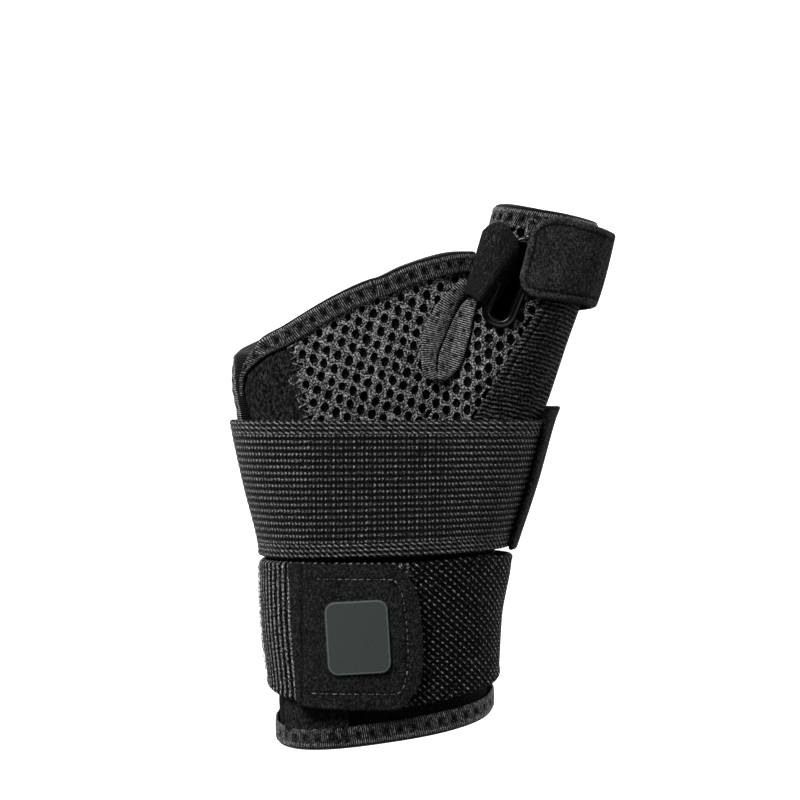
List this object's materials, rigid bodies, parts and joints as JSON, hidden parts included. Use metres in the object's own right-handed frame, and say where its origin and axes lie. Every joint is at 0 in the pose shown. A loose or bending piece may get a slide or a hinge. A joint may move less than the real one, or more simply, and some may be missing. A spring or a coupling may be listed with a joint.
{
  "type": "thumb spica splint",
  "caption": "Wrap-on cloth brace for the right wrist and thumb, with a stayed thumb sleeve, a palm net panel and hook-and-loop straps round the hand, wrist and thumb.",
  "frame": {"origin": "middle of the wrist opening, at the level of the lowest point of the hem", "axes": "+Z towards the fingers, -Y out of the palm, +X towards the thumb side"},
  "size_m": [0.1097, 0.0569, 0.1546],
  "materials": {
    "liner": "matt black padded cloth",
    "velour": "short brushed loop velour",
    "net": "coarse spacer net of grey-black yarn",
    "tape": "satin elastic tape with fine ribs across it",
    "ribbed": "ribbed knit over a stay",
    "elastic": "woven elastic with raised rows",
    "knit": "ribbed knit with a brushed face",
    "felt": "short-fibre microfibre felt",
    "plastic": "glossy black moulded plastic",
    "label": "grey-green coated cloth with a fine grain"
  },
  "bodies": {
    "root": {"liner_shell": "liner", "palm_loop_patch": "velour", "palm_mesh": "net", "thumb_mesh": "net", "palm_edge_binding": "tape", "dorsal_edge_binding": "tape", "hem_binding": "tape", "thumb_rim_binding": "tape", "web_ribbon_palm": "tape", "web_ribbon_thumb": "tape", "stay_sleeve": "ribbed", "slot_eyelet": "plastic", "thumb_strap": "felt", "hand_strap": "elastic", "hand_strap_tab": "felt", "wrist_strap": "knit", "wrist_strap_tab": "felt", "label_patch": "label"}
  },
  "joints": []
}
